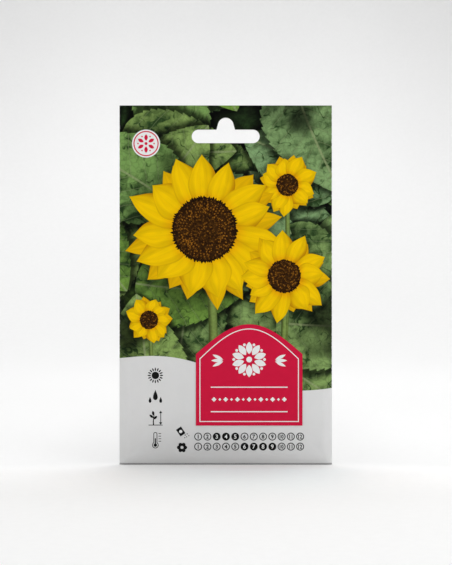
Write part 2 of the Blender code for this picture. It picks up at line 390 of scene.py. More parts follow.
def new_piece(name, points, faces, materials, uv=None, pick=None):
    """A mesh object from points and arrays of faces, with an optional UV map and point value.

    Points that lie together are merged, which closes seams and poles.
    """
    mesh = bpy.data.meshes.new(name)
    mesh.from_pydata(points.tolist(), [], [face for part in faces for face in part.tolist()])
    if pick is not None:
        values = mesh.attributes.new("pick", "FLOAT", "POINT")
        values.data.foreach_set("value", pick.astype(np.float32))
    if uv is not None:
        corner = np.zeros(len(mesh.loops), np.int32)
        mesh.loops.foreach_get("vertex_index", corner)
        layer = mesh.uv_layers.new(name="UVMap")
        layer.data.foreach_set("uv", uv[corner].astype(np.float32).ravel())
    for material in materials:
        mesh.materials.append(material)
    piece = new_object(name, mesh)
    weld = piece.modifiers.new("Weld", "WELD")
    weld.merge_threshold = 0.2 * MICRON
    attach(piece, "root")
    return piece


def thicken(piece, thickness, inner=0, rim=0, even=True):
    """Gives a sheet its thickness, behind its outer surface."""
    solidify = piece.modifiers.new("Thickness", "SOLIDIFY")
    solidify.thickness = thickness
    solidify.offset = -1.0
    solidify.use_even_offset = even
    solidify.material_offset = inner
    solidify.material_offset_rim = rim


def settle(piece):
    """Applies the piece's modifiers, and shades it smooth between its sharp edges."""
    graph = bpy.context.evaluated_depsgraph_get()
    evaluated = piece.evaluated_get(graph)
    mesh = bpy.data.meshes.new_from_object(
        evaluated, preserve_all_data_layers=True, depsgraph=graph
    )
    old = piece.data
    piece.modifiers.clear()
    piece.data = mesh
    bpy.data.meshes.remove(old)
    mesh.name = piece.name
    mesh.shade_smooth()
    mesh.set_sharp_from_angle(angle=math.radians(35))


# Paths


def mitred_sides(path, closed):
    """Vectors to the left of a path's points, long enough that a line's edges keep their width.

    Each is the sum of the unit normals before and after, over one plus their product.
    """
    before_first, after_last = path[-1:], path[:1]
    if not closed:
        before_first, after_last = 2 * path[:1] - path[1:2], 2 * path[-1:] - path[-2:-1]
    ahead = np.diff(np.concatenate([before_first, path, after_last]), axis=0)
    normal = np.stack([-ahead[:, 1], ahead[:, 0]], axis=1)
    normal /= np.linalg.norm(normal, axis=1)[:, None]
    before, after = normal[:-1], normal[1:]
    return (before + after) / (1 + np.sum(before * after, axis=1))[:, None]


def arc(x, z, radius, start, end, count):
    """A number of points round a middle, from one angle to another."""
    return np.stack(aimed(x, z, radius, 0.0, np.linspace(start, end, count)), axis=1)


def points_along(path, stops, at):
    """Points on a path whose own points stand at the stops."""
    return np.stack([np.interp(at, stops, places) for places in path.T], axis=1)


def subdivided(path, step):
    """The same path with its segments cut into equal parts no longer than a step."""
    counts = np.ceil(np.linalg.norm(np.diff(path, axis=0), axis=1) / step).astype(int)
    parts = [number + np.arange(count) / count for number, count in enumerate(counts)]
    return points_along(path, np.arange(len(path)), np.append(np.concatenate(parts), len(counts)))


def resampled(path, count):
    """A number of points along a path at equal distances, without its last."""
    along = np.concatenate([[0], np.cumsum(np.linalg.norm(np.diff(path, axis=0), axis=1))])
    return points_along(path, along, np.linspace(0, along[-1], count, endpoint=False))


def slot_loop():
    """The slot's outline as a closed loop of plan points, anticlockwise from its lower left.

    It is a straight, an arc, a straight, the dome, a straight and an arc. Each starts at a point
    of its own, so the corners at the dome's foot stay sharp.
    """
    slot = settings().slot
    low = HEIGHT - slot.below_top
    radius = slot.width / 2
    reach = slot.length / 2 - radius
    foot = slot.dome_width / 2
    crown = low + slot.total - slot.dome_radius
    top = low + slot.width
    lean = math.atan2(foot - slot.dome_radius, crown - top)
    dome = arc(0, crown, slot.dome_radius, lean, math.pi - lean, 60)
    parts = (
        np.array([(-reach, low), (reach, low)]),
        arc(reach, low + radius, radius, -math.pi / 2, math.pi / 2, 60),
        np.array([(reach, top), (foot, top)]),
        np.concatenate([[(foot, top)], dome, [(-foot, top)]]),
        np.array([(-foot, top), (-reach, top)]),
        arc(-reach, low + radius, radius, math.pi / 2, 3 * math.pi / 2, 60),
    )
    return np.concatenate([resampled(part, count) for part, count in zip(parts, SLOT_STEPS)])


def punched_plan(columns, rows):
    """A flat grid with the slot punched through it: plan points, faces and each point's number.

    The block's quads are left out. Closed loops of points run from its border to the slot's
    outline, in equal steps.
    """
    left, right, low, high = (
        int(np.argmin(np.abs(places - stop)))
        for places, stop in zip((columns, columns, rows, rows), BLOCK)
    )
    x, z = np.meshgrid(columns, rows)
    index = np.arange(x.size).reshape(x.shape)
    kept = np.ones((len(rows) - 1, len(columns) - 1), bool)
    kept[low:high, left:right] = False
    faces = grid_quads(*x.shape)[kept.ravel()]
    foot, head = index[low, left:right], index[high, right:left:-1]
    border = np.concatenate([foot, index[low:high, right], head, index[high:low:-1, left]])
    plan = np.stack([x.ravel(), z.ravel()], axis=1)
    loops = between(plan[border], slot_loop(), np.linspace(0, 1, 7)[1:, None, None])
    numbers = np.concatenate([border, len(plan) + np.arange(loops[..., 0].size)])
    faces = np.concatenate([faces, numbers[ring_quads(len(loops) + 1, len(border))]])
    plan = np.concatenate([plan, loops.reshape(-1, 2)])
    used, faces = np.unique(faces, return_inverse=True)
    return plan[used], faces.reshape(-1, 4), used


# The folded sheets


def quarter_insets():
    """Distances in from a fold: its crest, and its edge, then round its quarter."""
    roll = settings().paper.roll
    turn = np.linspace(0, math.pi / 2, 7)
    return np.concatenate([[0.0], roll * (1 - np.cos(turn))])


def fold_insets():
    """The quarter's distances, then those up the bevel."""
    paper = settings().paper
    return np.concatenate([quarter_insets(), lines(paper.roll, 12, paper.bevel)[1:]])


def header_rows():
    """Heights of the rows beside the slot and over the top fold, whose crest is the last."""
    low, high = BLOCK[2:]
    return np.concatenate([lines(low, 32, high), HEIGHT - quarter_insets()[::-1]])


def lifted(x, z, crest, side, stand=0.0):
    """Plan points on a panel, or a stand over it. Those of a fold's crest lie in its plane."""
    return points_from(x, np.where(crest, 0.0, side * (pouch_depth(x, z, side) + stand)), z)


def sheet(name, points, faces, kind):
    """A sheet of paper with its outer print, plain inside and cut edges."""
    materials = [paper_material(kind), paper_material("inner"), paper_material("core")]
    piece = new_piece(name, points, [faces], materials)
    thicken(piece, settings().paper.thickness, inner=1, rim=2)
    settle(piece)
    return piece


def panel_sheet(name, side, kind):
    """A whole panel with its slot, from the crests of its folds outwards.

    The back is a hair smaller than the front, so that the two sheets' crests don't lie together.
    """
    paper = settings().paper
    inset = fold_insets()
    left, right = inset[:-1] - WIDTH / 2, WIDTH / 2 - inset[-2::-1]
    inner = WIDTH / 2 - paper.bevel
    columns = np.concatenate([left, lines(-inner, 20, BLOCK[0], 72, BLOCK[1], 20, inner), right])
    taper_foot = HEIGHT - paper.header - paper.taper
    up = lines(paper.bevel, 60, taper_foot, 34, HEIGHT - paper.header, 4, BLOCK[2])
    above = header_rows() if side == FRONT else lines(BLOCK[2], 32, BLOCK[3], 2, BACK_TOP)
    rows = np.concatenate([inset[:-1], up[:-1], above])
    plan, faces, used = punched_plan(columns, rows)
    crests = np.zeros((len(rows), len(columns)), bool)
    crests[-1] = side == FRONT
    crests[0] = crests[:, 0] = crests[:, -1] = True
    crest = np.append(crests.ravel(), np.zeros(used.max() + 1, bool))[used]
    x, z = plan.T
    points = lifted(x, z, crest, side)
    if side == BACK:
        points[:, 0] *= 1 - BACK_NARROWER
        points[:, 2] = between(points[:, 2], HEIGHT / 2, BACK_SHORTER)
    return sheet(name, points, facing(faces, x, z, -side), kind)


def flap_insets(steps, span):
    """Distances in from a flap's fold to its free edge, and the share of the way at each."""
    inset = np.concatenate([fold_insets(), lines(settings().paper.bevel, steps, span)[1:]])
    return inset, inset / span


def flap_sheet(name, x, z, crest, away, faces=None):
    """A glued flap over the back panel. Its free edge, away from the fold, stands up a little."""
    paper = settings().paper
    x, z, crest, away = np.broadcast_arrays(x, z, crest, away)
    if faces is None:
        faces = grid_quads(*x.shape)
    x, z, crest, away = (np.ravel(values) for values in (x, z, crest, away))
    stand = paper.flap_stand + paper.flap_lift * ease(away) ** 2
    points = lifted(x, z, crest, BACK, stand)
    return sheet(name, points, facing(faces, x, z, -BACK), "flap")


def make_side_flap():
    """Columns go in from the fold. The ends are cut at a slant, in proportion to the inset."""
    inset, away = flap_insets(5, WIDTH / 2 - SIDE_FLAP_LOW.x)
    cut = settings().paper.flap_slant * away
    rows = np.linspace(0, 1, 90)[:, None]
    z = between(SIDE_FLAP_LOW.z + cut, SIDE_FLAP_HIGH.z - cut, rows)
    return flap_sheet("side_flap_sheet", WIDTH / 2 - inset, z, np.arange(len(inset)) == 0, away)


def make_bottom_flap():
    """Rows go up from the fold. The half width shrinks evenly towards the free edge."""
    inset, away = (row[:, None] for row in flap_insets(6, BOTTOM_FLAP_HIGH.z))
    half = BOTTOM_FLAP_HIGH.x - settings().paper.flap_slant * away
    crest = np.arange(len(inset))[:, None] == 0
    return flap_sheet("bottom_flap_sheet", np.linspace(-1, 1, 70) * half, inset, crest, away)


def make_top_flap():
    """Rows come down from the fold behind the slot. Its sides draw in towards the free edge."""
    half = TOP_FLAP_HIGH.x
    columns = lines(-half, 18, BLOCK[0], 72, BLOCK[1], 18, half)
    rows = np.concatenate([lines(TOP_FLAP_LOW.z, 4, BLOCK[2])[:-1], header_rows()])
    plan, faces, used = punched_plan(columns, rows)
    x, z = plan.T
    away = (HEIGHT - z) / (HEIGHT - TOP_FLAP_LOW.z)
    outside = np.clip((np.abs(x) - BLOCK[1]) / (half - BLOCK[1]), 0, 1)
    x = x - np.sign(x) * settings().paper.top_slant * away * outside
    crest = used // len(columns) == len(rows) - 1
    return flap_sheet("top_flap_sheet", x, z, crest, away, faces)


def make_slot_edge():
    """A band round the slot between the outer sheets, so that the pressed layers look solid."""
    lap, front, back, thickness = 0.03 * MM, -0.5 * MM, 0.8 * MM, 0.1 * MM
    outline = slot_loop()
    outline = outline - lap * mitred_sides(outline, closed=True)
    levels = np.linspace(front, back, 4)[:, None]
    points = points_from(outline[:, 0], levels, outline[:, 1])
    faces = ring_quads(len(levels), len(outline))
    piece = new_piece("slot_edge", points, [faces], [paper_material("core")])
    thicken(piece, thickness)
    settle(piece)
    return piece


# Node trees


class Value:
    """A node's output. Where it is a number, each sign of a formula with it places a node."""

    def __init__(self, bench, socket):
        self.bench, self.socket = bench, socket

    def __add__(self, other):
        return self.bench.math("ADD", self, other)

    def __sub__(self, other):
        return self.bench.math("SUBTRACT", self, other)

    def __rsub__(self, other):
        return self.bench.math("SUBTRACT", other, self)

    def __mul__(self, other):
        return self.bench.math("MULTIPLY", self, other)

    def __truediv__(self, other):
        return self.bench.math("DIVIDE", self, other)

    def __pow__(self, other):
        return self.bench.math("POWER", self, other)

    def __abs__(self):
        return self.bench.math("ABSOLUTE", self)

    def sin(self):
        """What numpy's sin gives for a value."""
        return self.bench.math("SINE", self)

    __radd__, __rmul__ = __add__, __mul__


class Bench:
    """Places nodes in a tree. An input is a number, a tuple or a value."""

    def __init__(self, tree):
        self.tree = tree

    def node(self, kind, inputs=(), outputs=(0,), **options):
        """Places a node, and gives the values at some of its outputs, by number or name."""
        count = len(self.tree.nodes)
        node = self.tree.nodes.new(kind)
        node.location = (190 * (count // 6) - 1500, 500 - 190 * (count % 6))
        for option, setting in options.items():
            setattr(node, option, setting)
        for key, value in dict(inputs).items():
            if isinstance(value, Value):
                self.tree.links.new(value.socket, node.inputs[key])
            else:
                node.inputs[key].default_value = value
        return [Value(self, node.outputs[key]) for key in outputs]

    def math(self, operation, *values):
        return self.node("ShaderNodeMath", enumerate(values), operation=operation)[0]

    def larger(self, first, second):
        return self.math("MAXIMUM", first, second)

    def fraction(self, value):
        """What is left over the whole number below."""
        return self.math("FRACT", value)

    def ease(self, value, low, high, to_low=0.0, to_high=1.0, shape="SMOOTHSTEP"):
        """Goes from one value to another while its input goes from low to high."""
        inputs = enumerate((value, low, high, to_low, to_high))
        return self.node("ShaderNodeMapRange", inputs, interpolation_type=shape)[0]

    def window(self, value, *edges):
        """0 outside and 1 inside: it eases in over the first two edges, and out over the others."""
        return self.ease(value, *edges[:2]) * self.ease(value, *edges[2:], 1.0, 0.0)

    def mix(self, amount, first, second, blend="MIX"):
        inputs = {0: amount, 6: rgba(first), 7: rgba(second)}
        return self.node("ShaderNodeMix", inputs, (2,), data_type="RGBA", blend_type=blend)[0]

    def shaded(self, value, first):
        """A colour times a grey value."""
        grey = self.node("ShaderNodeCombineColor", {0: value, 1: value, 2: value})[0]
        return self.mix(1.0, first, grey, "MULTIPLY")

    def vector(self, operation, *values):
        return self.node("ShaderNodeVectorMath", enumerate(values), operation=operation)[0]

    def noise(self, vector, scale, detail=2.0, roughness=0.5, output="Fac"):
        inputs = {"Vector": vector, "Scale": scale, "Detail": detail, "Roughness": roughness}
        return self.node("ShaderNodeTexNoise", inputs, (output,))[0]

    def cells(self, vector, scale, feature="F1"):
        inputs = {"Vector": vector, "Scale": scale}
        options = {"feature": feature, "voronoi_dimensions": "2D"}
        return self.node("ShaderNodeTexVoronoi", inputs, **options)[0]

    def split(self, vector):
        return self.node("ShaderNodeSeparateXYZ", {0: vector}, "XYZ")

    def join(self, x, y, z=0.0):
        return self.node("ShaderNodeCombineXYZ", {0: x, 1: y, 2: z})[0]

    def place(self):
        return self.node("ShaderNodeTexCoord", outputs=("Object",))[0]

    def pick(self):
        return self.node("ShaderNodeAttribute", outputs=("Fac",), attribute_name="pick")[0]

    def uv(self):
        return self.split(self.node("ShaderNodeUVMap", uv_map="UVMap")[0])[:2]


def rgba(value):
    """A colour as a node takes it: a value as it is, or red, green and blue with an alpha of 1."""
    return value if isinstance(value, Value) else (*tuple(value)[:3], 1.0)


def darker(rgb, amount):
    """A plain colour times a number."""
    return [amount * part for part in rgb]


def node_group(name, inputs, outputs, build):
    """The group of that name, made once. build(bench, given) returns its outputs in order."""
    if name in bpy.data.node_groups:
        return bpy.data.node_groups[name]
    tree = bpy.data.node_groups.new(name, "ShaderNodeTree")
    for way, sockets in (("INPUT", inputs), ("OUTPUT", outputs)):
        for key, kind in sockets.items():
            tree.interface.new_socket(key, in_out=way, socket_type="NodeSocket" + kind)
    start, end = tree.nodes.new("NodeGroupInput"), tree.nodes.new("NodeGroupOutput")
    start.location, end.location = (-1800, 0), (1400, 0)
    bench = Bench(tree)
    given = {key: Value(bench, start.outputs[key]) for key in inputs}
    for key, value in zip(outputs, build(bench, given)):
        tree.links.new(value.socket, end.inputs[key])
    return tree


def coated_paper():
    """Coated paper: a mottle in its tone and gloss, grain, slow waves, and painted shade along its
    foot, where the bottom fold meets the table.
    """

    def build(bench, given):
        place = bench.place()
        grain = bench.noise(place, 2600.0, 3.0, 0.6)
        mottle = bench.noise(place, 240.0, 3.0, 0.6)
        waves = bench.noise(place, 34.0, 1.0, 0.4)
        # Painted shade: a dark line with a ragged top along the foot, where the bottom fold meets
        # the table
        ragged = bench.split(place)[2] + grain * (0.25 * MM)
        foot_shade = bench.ease(ragged, 0.3 * MM, 1.2 * MM, 1.0, 0.0) * given["Soil"]
        tone = (mottle * 0.05 + 0.975) * (1.0 - foot_shade)
        roughness = given["Roughness"] + (mottle * 0.14 - 0.07)
        height = grain * given["Grain depth"] + waves * given["Wave depth"]
        inputs = {"Strength": 1.0, "Distance": 1.0, "Height": height}
        return tone, roughness, bench.node("ShaderNodeBump", inputs)[0]

    inputs = dict.fromkeys(("Roughness", "Grain depth", "Wave depth", "Soil"), "Float")
    outputs = {"Tone": "Float", "Roughness": "Float", "Normal": "Vector"}
    return node_group("Coated paper", inputs, outputs, build)


def printed_leaf():
    """One printed leaf. Its base is at (0, 0) and its tip at (1, 0) of the place given.

    Its half width is 0.8 times the power 0.42 of the way along it and the power 0.85 of the way
    left, less its teeth. Veins leave the midrib at a slant, and the blade swells between them.
    """

    def build(bench, given):
        along, across, _ = bench.split(given["Place"])
        wobble = bench.noise(given["Place"], 5.0)
        bent = across - along * along * 0.10
        side = abs(bent)
        width = bench.larger(1.0 - along, 0.0) ** 0.85 * bench.larger(along, 0.0) ** 0.42
        teeth = bench.fraction(along * 15.0 + wobble)
        room = width * (0.82 - teeth * 0.045) - side
        mask = bench.ease(room, 0.0, 0.008)
        ends = bench.ease(along, -0.10, 0.02) * bench.ease(along, 1.06, 0.98)
        halo = bench.ease(room, -0.11, 0.0) * ends

        slanted = along - side * 0.80 + wobble * 0.07
        from_vein = abs(bench.fraction(slanted * 7.0) * 2.0 - 1.0)
        branch = bench.ease(from_vein, 0.90, 0.98) * 0.40
        veins = bench.larger(branch, bench.ease(side, 0.012, 0.004))
        swell = from_vein * from_vein
        light = given["Relief"] - swell * 0.30 + along * 0.22
        light = light + bench.ease(bent, -0.02, 0.02, 0.10, -0.10)
        light = bench.larger(light * given["Tone"], 0.0)
        blade = bench.mix(light, given["Shadow"], given["Leaf"])
        leaf = bench.mix(veins * 0.70, blade, given["Vein"])
        cast = bench.shaded(bench.ease(halo, 0.0, 1.0, 1.0, 0.15), given["Below"])
        return (bench.mix(mask, cast, leaf),)

    inputs = {"Place": "Vector", "Relief": "Float", "Tone": "Float"}
    inputs |= dict.fromkeys(("Leaf", "Shadow", "Vein", "Below"), "Color")
    return node_group("Printed leaf", inputs, {"Picture": "Color"}, build)


# Materials


def band_height(x):
    """Top of the pale band: a straight line across the packet with one slow wave on it.

    x is an array of numbers, or a value in a node tree.
    """
    picture = settings().picture
    amount = x / WIDTH + 0.5
    line = between(picture.band_left, picture.band_right, amount)
    return picture.band_swell * np.sin(2 * math.pi * amount) + line


def above_band(bench, x, z):
    """1 over the picture and 0 over the pale band."""
    return bench.math("GREATER_THAN", z, band_height(x))


def puckers(bench, plan):
    """How the light falls on puckered leaves, and the faint dark net over them.

    The puckers are domes on wandering cells. The light on one is its height less the height a
    little nearer the upper left. Slow patches are added to it, and wrinkles are taken off, which
    are broken lines where a noise crosses its middle.
    """
    wander = bench.noise(plan, 130.0, output="Color")
    bent = bench.vector("MULTIPLY_ADD", wander, (6.0 * MM, 6.0 * MM, 0), plan)
    toward = bench.vector("ADD", bent, (-0.45 * MM, 0.60 * MM, 0))
    fall = bench.cells(toward, 210.0) - bench.cells(bent, 210.0)
    slow = bench.noise(plan, 80.0, 5.0, 0.66)
    relief = fall * 1.15 + bench.ease(slow, 0.32, 0.68, 0.10, 1.0, "LINEAR")
    crossing = abs(bench.noise(bent, 125.0, 2.0) - 0.5)
    broken = bench.ease(bench.noise(plan, 190.0, 1.0), 0.42, 0.60, 0.0, -0.60)
    wrinkles = bench.ease(crossing, 0.0, 0.035, 1.0, 0.0) * broken
    edge = bench.cells(bent, 430.0, "DISTANCE_TO_EDGE")
    return relief + wrinkles, bench.ease(edge, 0.0, 0.16, 0.80, 1.0)


def leaf_layer(bench, plan, number, relief, painted):
    """One layer of leaves over what is painted so far.

    A layer is a square lattice. Each of its cells holds one leaf, turned and toned by the cell's
    own three random numbers. A few leaves are fresher.
    """
    picture = settings().picture
    pitch, turn, x, z = LEAF_LAYERS[number]
    inputs = {"Vector": plan, "Location": (x, z, 0), "Rotation": (0, 0, turn)}
    lattice = bench.node("ShaderNodeMapping", inputs, vector_type="TEXTURE")[0]
    inputs = {"Vector": lattice, "Scale": 1 / pitch, "Randomness": 0.0}
    keys = ("Color", "Position")
    draws, middle = bench.node("ShaderNodeTexVoronoi", inputs, keys, voronoi_dimensions="2D")
    first, second, third = bench.split(draws)
    inputs = {"Vector": bench.vector("SUBTRACT", lattice, middle), "Angle": first * (2 * math.pi)}
    local = bench.node("ShaderNodeVectorRotate", inputs, rotation_type="Z_AXIS")[0]
    start = bench.join(0.5, 0.0, second * 9.0)
    size = 1.08 / pitch
    green = bench.mix(bench.ease(first, 0.2, 0.8), picture.leaf, picture.leaf_cool)
    inputs = {
        "Place": bench.vector("MULTIPLY_ADD", local, (size, size, 0.0), start),
        "Relief": relief,
        "Tone": third * 0.42 + (0.54 + 0.48 * number / len(LEAF_LAYERS)),
        "Leaf": bench.mix(bench.ease(second, 0.62, 0.90), green, picture.leaf_fresh),
        "Shadow": rgba(picture.leaf_dark),
        "Vein": rgba(picture.vein),
        "Below": painted,
    }
    return bench.node("ShaderNodeGroup", inputs, node_tree=printed_leaf())[0]


def foliage(bench, plan):
    """Layers of printed leaves over dark, broken gaps, dimmed round each flower.

    Upper layers are lighter, and slow noise puts some of the picture in the shade.
    """
    picture = settings().picture
    relief, net = puckers(bench, plan)
    gaps = bench.ease(bench.noise(plan, 120.0, 4.0, 0.65), 0.38, 0.75)
    painted = bench.mix(gaps, picture.shade, picture.leaf_dark)
    for number in range(len(LEAF_LAYERS)):
        painted = leaf_layer(bench, plan, number, relief, painted)
    depth = bench.ease(bench.noise(plan, 23.0, 2.0, 0.5), 0.34, 0.45, 0.14, 1.0)
    painted = bench.shaded(net * depth, painted)
    for x, z, radius, *_ in BLOOMS:
        inputs = {0: plan, 1: (x - 0.05 * radius, z - 0.08 * radius, 0.0)}
        away = bench.node("ShaderNodeVectorMath", inputs, ("Value",), operation="DISTANCE")[0]
        dimmed = bench.ease(away, 0.75 * radius, 1.2 * radius, 0.30, 1.0)
        painted = bench.shaded(dimmed, painted)
    return painted


def pale_band(bench, x, z):
    """The pale band's print, with painted shade that greys it towards the middle of its foot and to
    the left, and painted light that lightens it towards the right.
    """
    # Painted shade, strongest low down and a little left of the middle
    low = bench.ease(z, 0.0, 28 * MM, 1.0, 0.0)
    middle = bench.ease(abs(x + 10 * MM), 10 * MM, 58 * MM, 0.17, 0.03)
    # Painted light: the band lightens towards the right, nearer the key light
    lighter = bench.ease(x, -WIDTH / 2, WIDTH / 2, 0.995, 1.015, "LINEAR")
    return bench.shaded((1.0 - low * middle) * lighter, settings().paper.white)


def printed_front(bench):
    """The front's print: leaves down to the pale band, and slightly worn folds."""
    place = bench.place()
    x, _, z = bench.split(place)
    leaves = foliage(bench, bench.join(x, z))
    ground = bench.mix(above_band(bench, x, z), pale_band(bench, x, z), leaves)
    scuffs = bench.ease(bench.noise(place, 900.0), 0.45, 0.65)
    worn = bench.ease(WIDTH / 2 - abs(x), 0.45 * MM, 0.05 * MM, 0.0, 0.5) * scuffs
    return bench.mix(worn, ground, settings().paper.white)


def flap_print(bench):
    """A flap's outside: plain paper, where the front's print runs on a little past the fold."""
    paper, picture = settings().paper, settings().picture
    x, _, z = bench.split(bench.place())
    plan = bench.join(x, z)
    to_fold = bench.math("MINIMUM", WIDTH / 2 - abs(x), HEIGHT - z)
    edge = bench.noise(plan, 60.0, 1.0) * (0.3 * MM) + paper.bleed
    bleed = bench.math("LESS_THAN", to_fold, edge) * above_band(bench, x, z)
    mottle = bench.ease(bench.noise(plan, 150.0, 4.0, 0.65), 0.3, 0.7)
    return bench.mix(bleed, paper.white, bench.mix(mottle, picture.leaf_dark, picture.leaf))


def cut_edge(bench):
    """Cut edge of the pressed sheets: pale core with fine dark lines between the layers."""
    y = bench.split(bench.place())[1]
    from_line = abs(bench.fraction(y / (0.3 * MM)) - 0.5)
    return bench.shaded(bench.ease(from_line, 0.3, 0.48, 1.0, 0.6), settings().paper.core)


def petal_print(bench):
    """Ray petals: streaks and ridges along them, soft light across, and a neighbour's shade."""
    picture = settings().picture
    u, v = bench.uv()
    pick = bench.pick()
    streaks = bench.noise(bench.join(u * 9.0, v, pick), 1.6, 3.0, 0.6)
    slow = bench.noise(bench.join(u * 1.2, v, pick), 1.9, 1.0)
    ridges = bench.math("PINGPONG", u * 4.0 + slow, 0.5)
    rim = bench.ease(bench.math("MINIMUM", u, 1.0 - u), 0.0, 0.09)
    clear = bench.ease(v * 0.46 + 0.44 - u, -0.36, 0.06)
    lit = (rim * 0.32 + 0.68) * clear * bench.ease(ridges, 0.0, 0.4, 0.88, 1.0)
    lit = lit * bench.ease(pick, 0.0, 0.8, 0.35, 1.0, "LINEAR")
    body = bench.mix(bench.ease(v, 0.05, 0.42), picture.petal_foot, picture.petal)
    tone = (streaks * 0.26 + 0.95) * bench.ease(slow, 0.30, 0.60, 0.86, 1.0)
    tone = tone * bench.ease(v, 0.75, 1.0, 1.0, 0.92)
    return bench.shaded(tone, bench.mix(lit, picture.petal_shade, body))


def disc_print(bench):
    """Flower discs: each floret's own tone between the dark ground and the brightest."""
    picture = settings().picture
    speck = bench.noise(bench.place(), 1500.0, 2.0)
    amount = bench.pick() * bench.ease(speck, 0.25, 0.75, 0.6, 1.3)
    return bench.mix(amount, picture.disc, picture.floret)


def stem_print(bench):
    """Stems: a light streak along the middle, and darker sides."""
    picture = settings().picture
    middle = 1.0 - abs(bench.uv()[0] - 0.4)
    hairs = bench.noise(bench.place(), 700.0, 3.0)
    light = bench.ease(middle, 0.45, 0.95, 0.30, 1.0) * bench.ease(hairs, 0, 1, 0.7, 1.3)
    return bench.shaded(light, picture.stem)


def seed_stripes(bench):
    """Seed hulls: pale stripes along a dark hull, broken by fine grain."""
    stripes = bench.math("PINGPONG", bench.uv()[0] * 12.0, 1.0)
    grain = bench.noise(bench.place(), 1400.0, 3.0)
    pale = bench.ease(grain * 0.5 + stripes, 0.95, 1.15)
    return bench.mix(pale, HULL_DARK, HULL_PALE)


def sweep_paint(bench):
    """The sweep: pale, with painted shade and light over it. Painted shade greys it behind the
    packet and towards its wall's top and sides, with a painted pool of light in the wall's middle.

    The floor has a painted shadow beside the packet's foot and painted light in front of that. In
    front of the packet a painted cool tint cancels the red light bounced from the label.
    """
    pale = settings().stage.pale
    x, y, height = bench.split(bench.place())
    aside = abs(x)
    # Painted shade: the floor greys far behind the packet, but not up the wall
    low = bench.ease(height, 0.02, 0.2, 0.955, 0.992)
    behind = bench.larger(bench.ease(y, 0.05, 0.45, 1.0, 0.955), low)
    # A painted pool of light in the wall's middle, and painted shade towards its sides
    painted_light_pool = bench.ease(height, 0.06, 0.32, 1.0, bench.ease(aside, 0.12, 0.36, 1.052, 0.955))
    # A painted shadow on the floor beside and just behind the packet's foot
    beside = bench.ease(aside, 0.045, 0.11, 1.0, 0.0) * bench.window(y, -0.01, 0.012, 0.1, 0.5)
    # Painted light on the floor in front of the packet, off to each side
    painted_light_in_front = bench.window(aside, 0.04, 0.07, 0.10, 0.22)
    painted_light_in_front = painted_light_in_front * bench.window(y, -0.12, -0.05, -0.02, 0.0)
    tone = (1.0 - beside * 0.07 + painted_light_in_front * 0.045) * behind * painted_light_pool
    # A painted cool tint where the label's red light falls on the floor in front
    from_label = abs(x - settings().label.centre)
    red_light = bench.ease(from_label, 0.015, 0.065, 1.0, 0.0)
    red_light = red_light * bench.window(y, -0.14, -0.02, -0.025, -0.005)
    # Painted shade: the wall greys towards its top
    wall = bench.mix(bench.ease(height, 0.20, 0.65), pale, darker(pale, 0.83))
    red_cancelling_tint = bench.mix(1.0, wall, (0.985, 1.055, 1.075), "MULTIPLY")
    return bench.shaded(tone, bench.mix(red_light, wall, red_cancelling_tint))


def flat_ink(rgb):
    """A painter of one colour, a little darker in patches."""
    patches = darker(rgb, 0.93)
    return lambda bench: bench.mix(bench.noise(bench.place(), 420.0, 3.0), rgb, patches)


def new_material(name, paint, roughness, grain=2.0 * MICRON, waves=60 * MICRON, foot_shade=0.64):
    """A paper or ink material, made once. paint(bench) gives its colour."""
    if name in bpy.data.materials:
        return bpy.data.materials[name]
    material = bpy.data.materials.new(name)
    material.use_nodes = True
    tree = material.node_tree
    bench = Bench(tree)
    shader = tree.nodes["Principled BSDF"]
    shader.location = (1400, 0)
    shader.inputs["Specular IOR Level"].default_value = SHEEN
    tree.nodes["Material Output"].location = (1700, 0)
    # The last entry is the strength of the painted shade along the foot
    given = {"Roughness": roughness, "Grain depth": grain, "Wave depth": waves, "Soil": foot_shade}
    keys = ("Tone", "Roughness", "Normal")
    tone, rough, normal = bench.node("ShaderNodeGroup", given, keys, node_tree=coated_paper())
    tree.links.new(bench.shaded(tone, paint(bench)).socket, shader.inputs["Base Color"])
    tree.links.new(rough.socket, shader.inputs["Roughness"])
    tree.links.new(normal.socket, shader.inputs["Normal"])
    return material


def paper_material(kind):
    """The packet's own papers: printed, flap, plain, inner and core."""
    paper = settings().paper
    painters = {
        "printed": printed_front,
        "flap": flap_print,
        "plain": flat_ink(paper.white),
        "inner": flat_ink(darker(paper.white, 0.93)),
        "core": cut_edge,
    }
    roughness = {"inner": 0.75, "core": 0.85}.get(kind, paper.roughness)
    return new_material("paper_" + kind, painters[kind], roughness)


def ink_material(kind):
    """The films of ink: red, black, white, petals, discs and stems."""
    ink = settings().ink
    painters = {
        "red": flat_ink(ink.red),
        "black": flat_ink(ink.black),
        "white": flat_ink(ink.white),
        "petals": petal_print,
        "discs": disc_print,
        "stems": stem_print,
    }
    return new_material("ink_" + kind, painters[kind], settings().paper.roughness - 0.04)


# Films of ink


